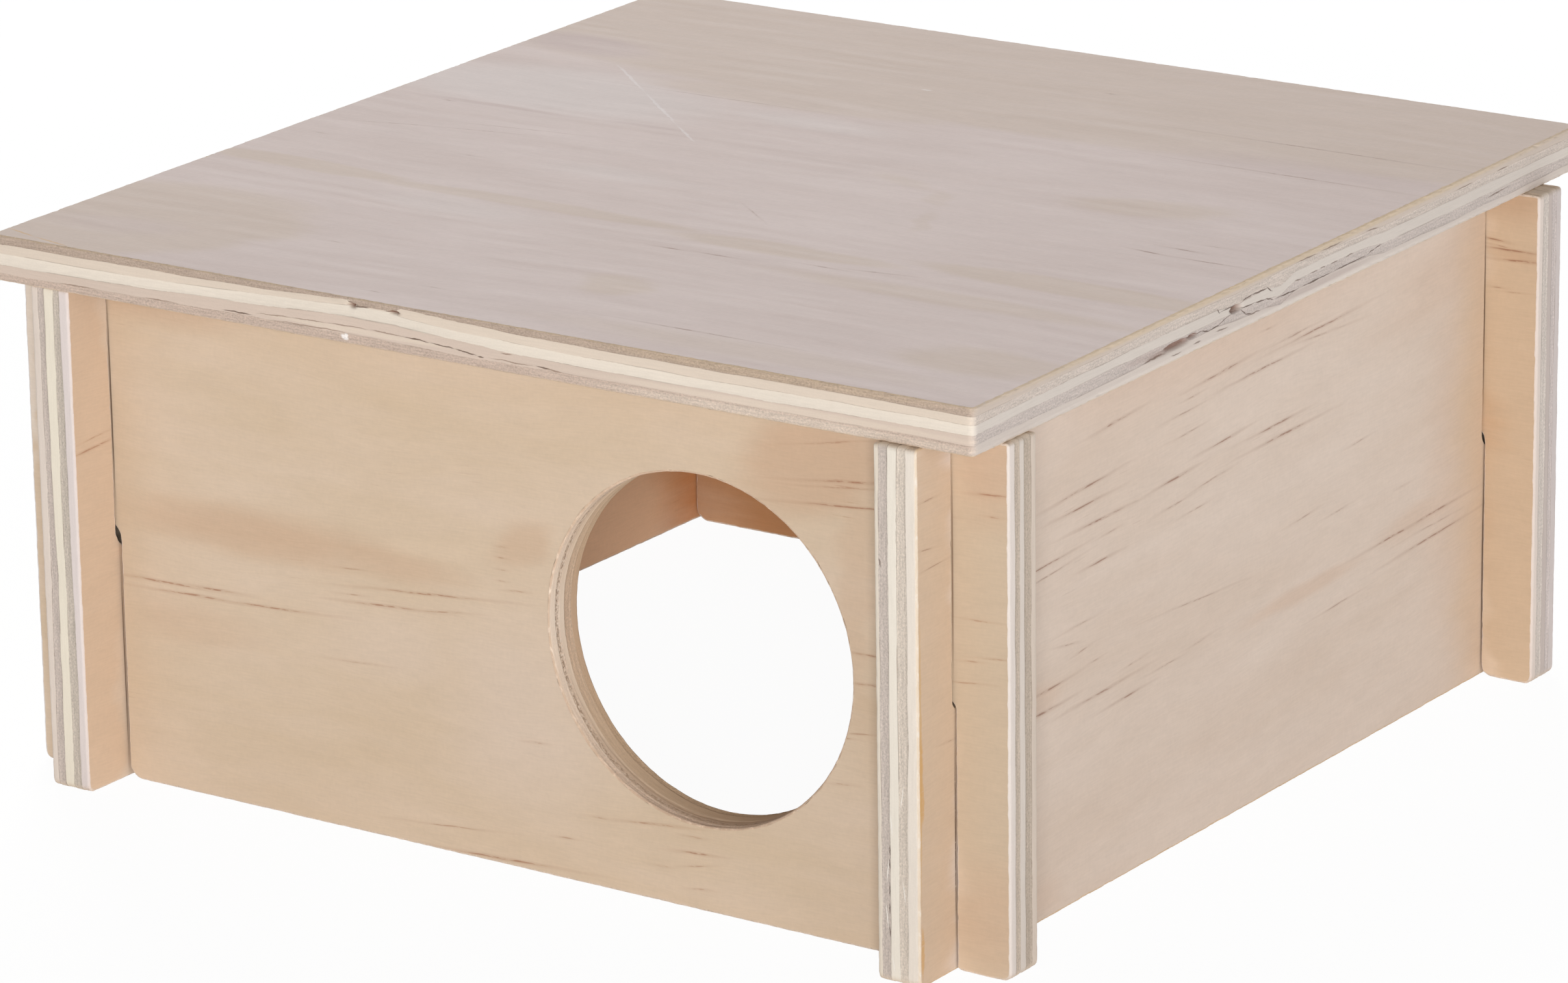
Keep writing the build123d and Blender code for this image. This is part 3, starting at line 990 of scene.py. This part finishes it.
# %% Left face
faces["left"] = veneer(
    "left", ((216, 196, 176), (209, 187, 165)), brown, 1.0, 37.9,
    zones=[
        ((205, 177, 151), [(16, 30, 70, 7, 1, 0.8, 0.7), (-35, 72, 45, 6, -2, 0.7, 0.7)]),
        ((220, 203, 186), [(30, 60, 36, 12, 2, 0.5, 0.9), (-46, 16, 28, 8, 0, 0.5, 0.9)]),
        # painted shade and warm bounced light: the whole inner face warmer and darker
        ((227, 189, 155), [(0, 45, 96, 90, 0, 1.2, 0.2, inner)]),
        # painted shade: darker low down near the back board
        ((203, 141, 91), [(-84, 10, 18, 60, 0, 0.9, 0.8, inner)]),
        # painted warm shade on the front tab's inner face, beside the front board
        ((209, 183, 158), [(96, 45, 9, 70, 0, 1.0, 0.3, inner)])],
    strong=[(90, 61.2, 100.3, 60.7, inner), (-60, 70, -44, 71.2), (-38, 74, -22, 75),
        (-52, 66.8, -42, 67.2), (10, 28, 30, 29.4), (36, 31, 52, 32), (14, 24.6, 24, 25), (56, 52, 70, 53),
        (-12, 50, 2, 50.8), (-66, 36, -52, 37), (20, 78, 34, 79)],
    faint=[(90.5, 63, 97.5, 62.6, inner), (-70, 62, -62, 62.5), (-20, 62, -10, 62.4), (2, 66, 10, 66.5),
        (40, 68, 50, 68.6), (60, 36, 68, 36.4), (-30, 42, -22, 42.3), (-44, 26, -36, 26.5),
        (-16, 20, -6, 20.5), (30, 12, 38, 12.4), (62, 18, 70, 18.3), (-62, 10, -54, 10.4),
        (-4, 82, 6, 82.4)],
    lines=[
        # painted shade in the seam beside the front board
        (seam_shade_brown, 0.85, 0.15, 0, [(89.05, 0.5, 89.05, 41.8, inner)])], scatter=0.4)
print("faces so far:", list(faces))

# %% [markdown]
# ## Colours and marks of the roof
# The roof is a pinkish grey, crossed by long tan bands, with paler patches painted on as sheen over
# rubbed fibres. Its marks are measured from the middle of the board.

# %% Roof face
faces["roof"] = veneer(
    "roof", ((204, 187, 181), (198, 180, 173)), (140, 112, 98), 1.0, 51.3,
    zones=[
        # painted sheen: pale patches where the top catches the light, over rubbed fibres
        ((206, 193, 188), [(-70, 28, 44, 20, 0, 0.9, 0.6), (-20, 32, 26, 6, 0, 0.6, 0.8),
            (-40, 60, 13, 8, 0, 0.7, 0.5), (-40, -46, 26, 7, 0, 0.5, 0.8), (-30, -14, 20, 6, 0, 0.5, 0.8)]),
        ((195, 176, 163), [(-80, -36.3, 26, 3.8, 0, 1.0, 0.35), (-30, -37.6, 42, 3.2, 0, 0.9, 0.4),
            (22, -39.6, 26, 4.2, 2, 0.9, 0.4), (76, -35, 36, 4.8, 0, 1.0, 0.35),
            (62, -50.5, 46, 4.6, 0, 0.8, 0.6), (-92, -82, 44, 26, 20, 1.0, 0.2),
            (10, -72, 9, 7, 0, 0.9, 0.5), (85, -78, 18, 9, 0, 0.9, 0.5), (48, -92, 54, 6, 0, 0.6, 0.7),
            (62, 14, 21, 7, 12, 0.8, 0.5), (16, 7.5, 9, 3, -15, 0.5, 0.7), (27, 1, 8, 3, -50, 0.5, 0.7),
            (33, -13, 9, 3, -75, 0.5, 0.7), (0, 86, 170, 44, 0, 0.9, 0.12), (-30, 44, 38, 7, 0, 0.8, 0.4)]),
        ((190, 171, 165), [(-86, 58, 20, 9, 0, 0.9, 0.6), (72, 49, 36, 7, 0, 0.6, 0.7),
            (-74, 13.2, 26, 1.4, 1.5, 0.9, 0.8), (-44, 15, 12, 1.3, 4, 0.7, 0.8),
            (-84, -84, 20, 7, 8, 0.5, 0.8)])],
    strong=[(73, -9.4, 78.6, -10), (78, -5.5, 82.5, -5.7), (82.5, -10, 92.5, -10), (41, -43.5, 48, -42.5),
        (32, -45, 37, -45), (4, -48.5, 8, -48.5), (12, -48, 18, -48), (15.6, 76.5, 16.4, 76.5),
        (-84.4, 12, -83.6, 12), (25, -87, 49, -87), (54, 44, 88, 44), (48, 62, 90, 62)],
    faint=[(81.5, -1.4, 86, -1.2), (-70, 1, -50, 4), (-90, -8, -75, -4), (-75, -4, -60, -1),
        (-91, -18, -89, -18), (-59, -17, -57, -17), (3, -21, 8, -25), (-15, -88, -13, -88),
        (-22, -95, -20, -95), (-46, -74, -44, -74), (-60, 38, -20, 39)],
    lines=[
        ((226, 218, 216), 0.5, 0.4, 0.8, [(-74, 50, -56, 34), (-58, 35.8, -38, 18), (-39, 18.8, -29, 10),
            (-15, 62, -13, 62)]),
        ((196, 160, 116), 0.8, 0.35, 0.6, [(-98, -95.5, -90, -97.6), (-91, -97.4, -81, -99.6)])],
    scatter=0.2)

# %% [markdown]
# ## Colours of the cut edges
# A cream ply between two grey ones repeats across every wall's end, each board in tones of its
# own. The roof's edges were seen closest, so their cracks are placed too: short dark strokes where
# the glue let go.

# %% Edge colours
wall_across = {
    "front": ((222, 211, 203), (190, 175, 160), (214, 203, 193), (184, 169, 154), (211, 196, 182)),
    "right": ((232, 221, 208), (210, 197, 183), (234, 225, 211), (196, 183, 173), (224, 212, 196)),
    "left": ((222, 208, 196), (196, 182, 172), (232, 222, 204), (195, 183, 170), (222, 210, 205)),
    "back": ((204, 193, 189), (200, 188, 183), (194, 181, 174), (204, 193, 184), (220, 206, 196))}
wall_along = ((205, 184, 162), (214, 196, 176), (208, 190, 170), (214, 196, 176), (205, 184, 162))
wall_rims = {
    "front": (0.3, (228, 214, 204)),
    "right": (0.35, (210, 172, 118)),
    "left": (0.3, (226, 212, 204)),
    "back": (0.3, (226, 210, 202))}
wall_cracks = {
    "right": [
        ("post", (92, 74, 64), 0.8, 0.16, [(5.6, 8, 5.7, 9.5), (5.65, 12, 5.7, 13.5), (5.6, 15, 5.65, 17),
            (5.6, 19.5, 5.65, 21), (5.55, 22, 5.6, 23.2), (6.9, 70, 7.0, 71)]),
        ("post", (243, 237, 228), 0.7, 0.14, [(5.9, 9, 6.5, 14), (6.2, 17, 5.8, 21), (4.7, 2, 5.3, 5),
            (5.0, 25, 5.4, 29), (2.6, 14, 3.2, 18), (3.4, 30, 2.9, 34)])]}
hole_across = ((244, 227, 208), (228, 208, 188), (243, 225, 205), (210, 184, 160), (214, 184, 155))
hole_along = ((232, 206, 182), (222, 194, 166), (226, 198, 168), (226, 198, 166), (216, 188, 156))
roof_across = ((203, 188, 176), (204, 191, 181), (211, 201, 192), (196, 184, 177), (208, 196, 187))
roof_along = ((184, 164, 148), (222, 206, 189), (230, 218, 203), (212, 193, 178), (198, 177, 162))

roof_zones = [
    ("front", (220, 203, 186), [(62, 5.6, 52, 0.8, 0, 0.9, 0.6), (-20, 5.5, 24, 0.55, 0, 0.9, 0.5)]),
    ("front", (214, 197, 181), [(64, 7.2, 50, 1.1, 0, 0.85, 0.6)]),
    ("front", (190, 168, 144), [(60, 0.6, 44, 1.0, 0, 0.6, 0.6)]),
    ("front", (244, 236, 230), [(-23.7, 6.9, 1.0, 0.55, 20, 1.0, 0.5), (-23.3, 6.5, 0.45, 0.4, 0, 1.0, 0.4)]),
    ("right", (186, 170, 163), [(8, 6.3, 24, 0.75, 0, 0.6, 0.6), (-48, 5.0, 10, 0.9, 0, 0.7, 0.7)]),
    ("right", (208, 188, 162), [(0, 0.4, 125, 0.75, 0, 0.75, 0.6)]),
    ("right", (218, 207, 198), [(-10, 7.4, 120, 0.6, 0, 0.8, 0.8)])]
roof_cracks = [
    ("front", (96, 72, 58), 0.85, 0.16, [(-12, 4.95, -6, 5.2), (-6.5, 5.2, -1, 5.5), (-1.5, 5.45, 3.2, 6.0),
        (3.6, 6.1, 4.2, 6.1), (15, 5.9, 17.5, 6.1), (-49, 5.95, -42.5, 5.95), (-21.6, 1.3, -18.6, 1.15),
        (-15, 1.15, -12.7, 1.2), (-22.6, 0.7, -21.8, 1.3)]),
    ("front", (140, 114, 96), 0.7, 0.14, [(-42, 5.5, -34, 5.2), (-35, 5.2, -27, 5.0), (-28, 5.0, -18, 4.8),
        (-19, 4.8, -11, 5.0), (17, 6.1, 20, 6.3), (8, 4.7, 10, 4.75), (-84, 6.5, -75, 6.4),
        (-66, 6.4, -58, 6.3), (-40, 6.15, -20, 6.1), (5, 6.0, 15, 6.0)]),
    ("right", (88, 68, 58), 0.85, 0.15, [(-33.8, 5.0, -30, 5.1), (-30.3, 5.1, -28, 5.6),
        (-28.5, 5.55, -24.5, 5.4), (-25, 5.4, -21, 4.5), (-25.3, 2.8, -24.9, 3.25),
        (-25.2, 3.25, -17.2, 3.4), (-17.4, 3.2, -14, 2.9), (-14.5, 2.9, -9, 3.05), (-9.2, 3.0, -7.8, 3.8),
        (-18, 4.4, -13, 4.5), (-13.5, 4.5, -9.5, 4.75), (-10, 4.7, -7, 5.5), (-7.5, 5.5, 2, 5.65),
        (1, 5.6, 13, 5.5), (12, 5.5, 25, 5.5), (25, 5.4, 27, 4.9), (27, 4.9, 29, 4.75),
        (-17.6, 4.7, -16.2, 5.7), (-16.4, 5.7, -14.5, 5.95)]),
    ("right", (118, 98, 86), 0.75, 0.16, [(-40, 6.8, -37, 6.9), (-33, 6.5, -31, 6.55), (-26, 6.3, -22, 6.4),
        (-16, 6.05, -11.5, 6.2), (8.5, 3.9, 10, 3.9), (12, 4, 14, 3.95), (17, 4, 19.5, 3.95),
        (5, 4, 7.5, 4), (0, 4, 2, 4.1), (66, 5.6, 75, 5.2), (55, 1.5, 62, 1.5), (70, 1.5, 74, 1.5),
        (24, 1.3, 28, 1.5), (0, 1.0, 8, 1.05), (8, 1.0, 16, 1.1), (-50, 5.9, -41, 5.85)])]
print("edge colours:", sorted(wall_across))

# %% [markdown]
# ## Plies and glue lines
# Each board has plies of its own thickness. The roof board's glue lines are laid one by one on the two
# edges that show: they dip where a short core ply leaves a gap.

# %% Plies and glue lines
wall_plies = {"front": (1.5, 1.45, 1.45, 1.95, 1.65), "back": (1.9, 1.5, 1.4, 1.8, 1.4),
              "right": (2.1, 1.6, 1.6, 1.8, 0.9), "left": (1.6, 1.25, 1.95, 1.45, 1.75)}
roof_plies = (1.3, 1.6, 1.7, 1.5, 1.9)
front_lines = [(-98, 1.4, 3.1, 4.9, 6.6), (-70, 1.3, 3.0, 4.7, 6.4), (-45, 1.0, 2.4, 4.1, 6.1),
               (-30, 0.6, 1.9, 3.5, 6.1), (-22.4, 0.4, 1.5, 3.2, 6.1), (-21.9, 1.25, 1.3, 3.1, 6.1),
               (-13, 1.2, 1.25, 3.2, 6.1), (-12.5, 0.4, 1.7, 3.3, 6.1), (0, 0.9, 2.5, 4.0, 6.4),
               (12, 1.2, 2.7, 4.7, 6.1), (50, 1.3, 3.0, 4.7, 6.2), (98, 1.3, 2.9, 4.6, 6.1)]
right_lines = [(-100, 1.3, 2.9, 4.5, 6.0), (-50, 1.1, 2.6, 4.2, 5.9), (-26, 1.3, 2.7, 4.4, 5.5),
               (-20, 1.6, 3.4, 4.4, 6.0), (-9.5, 1.4, 3.0, 4.7, 6.3), (-5, 1.1, 3.8, 5.5, 7.0),
               (0, 1.0, 2.5, 4.0, 5.6), (25, 1.3, 2.6, 4.1, 5.5), (30, 1.5, 2.9, 4.7, 6.3),
               (96, 1.6, 3.2, 4.8, 6.5)]
print("sheets of", [round(sum(plies), 2) for plies in (*wall_plies.values(), roof_plies)], "mm")

# %% Cut a board
wall_arris, roof_arris = 0.4 * MM, 0.3 * MM
wall_fuzz, roof_fuzz = 0.02, 0.09
long_stray, short_stray = (0.10, 30), (0.05, 5)
slot_reach, roof_side_reach = 0.9 * MM, 1.2 * MM


def slot_sides(edge, crossing):
    """Marks the points on the sides of the slots, which nobody sanded."""
    middle = abs(crossing.out @ crossing.origin) - crossing.thickness / 2
    away = np.abs(np.abs(edge.points[:, 0]) - middle)
    return (away < crossing.thickness / 2 + slot_reach) & (np.abs(edge.tangent[:, 1]) > 0.5)


def roof_sides(edge):
    """Marks the points on the roof's front edge and on its right edge."""
    return (edge.points[:, 1] < -roof_depth / 2 + roof_side_reach,
            edge.points[:, 0] > roof_width / 2 - roof_side_reach)


def roof_lines(edge):
    """Lays the glue lines of the two edges that show."""
    front, right = roof_sides(edge)
    edge.lay_lines(front, edge.points[:, 0], front_lines)
    edge.lay_lines(right & ~front, edge.points[:, 1], right_lines)


def roof_gaps(edge):
    """Short core plies: two notches in front, and a notch and a slit of three hollows on the right."""
    front, right = (side[:, None] for side in roof_sides(edge))
    hollow(edge, front, edge.u, (-22.0, 1.25), (0.75, 0.5), 1.3, 1.0)
    hollow(edge, front, edge.u, (-13.4, 1.2), (1.1, 0.35), 1.1, 0.9)
    hollow(edge, right, edge.v, (-19.4, 4.0), (2.1, 0.75), 1.8, 1.0)
    hollow(edge, right, edge.v, (-43.0, 5.6), (7.0, 0.65), 0.4, 0.35, 0.8)
    hollow(edge, right, edge.v, (-38.2, 5.35), (5.5, 0.75), 0.9, 0.75, 0.6)
    hollow(edge, right, edge.v, (-33.2, 5.1), (1.5, 0.4), 1.4, 1.0)


def make_board(name, piece_name, body, plies, rims, seed, arris):
    """One board from its outline, its plies and its finishes, riding on its body."""
    board, rng, is_roof = boards[name], np.random.default_rng(seed), name == "roof"
    edges = [Edge(board, outline, plies, rng, arris) for outline in outlines[name]]
    for edge in edges:
        in_slot = None
        if is_roof:
            roof_lines(edge)
        elif edge is edges[0]:
            in_slot = slot_sides(edge, boards[crossing_boards[name]])
        edge.stray(*long_stray)
        edge.stray(*short_stray)
        work_edge(edge, in_slot, roof_fuzz if is_roof else wall_fuzz)
        if is_roof:
            roof_gaps(edge)
    piece = board_piece(piece_name, board, edges, [faces[name]] + rims)
    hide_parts(board.node)
    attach(piece, body)


print("a slot's sides reach", slot_reach / MM, "mm past the crossing board")

# %% [markdown]
# ## Make the five pieces
# Every board has its own seed, so no two edges repeat.

# %% Make the five pieces
wall_seeds = {"front": 11, "back": 12, "right": 13, "left": 14}
door_seed, roof_seed = 21, 15
rims = {name: [edge_finish(name + "_edge", boards[name], wall_across[name], wall_along, seed,
                           wall_rims[name], cracks=wall_cracks.get(name, ()))]
        for name, seed in wall_seeds.items()}
rims["front"].append(edge_finish("door_edge", boards["front"], hole_across, hole_along, door_seed,
                                 (0.8, (198, 168, 142)), torn_line=2.1, seams=0.3))
rims["roof"] = [edge_finish("roof_edge", boards["roof"], roof_across, roof_along, roof_seed,
                            (0.55, (214, 190, 158)), roof_zones, roof_cracks, seams=0.35)]

for name, seed in wall_seeds.items():
    make_board(name, name + "_board", "walls", wall_plies[name], rims[name], seed, wall_arris)
make_board("roof", "roof_panel", "roof", roof_plies, rims["roof"], roof_seed, roof_arris)

# %% Colour view
bpy.context.scene.view_settings.view_transform = "Standard"
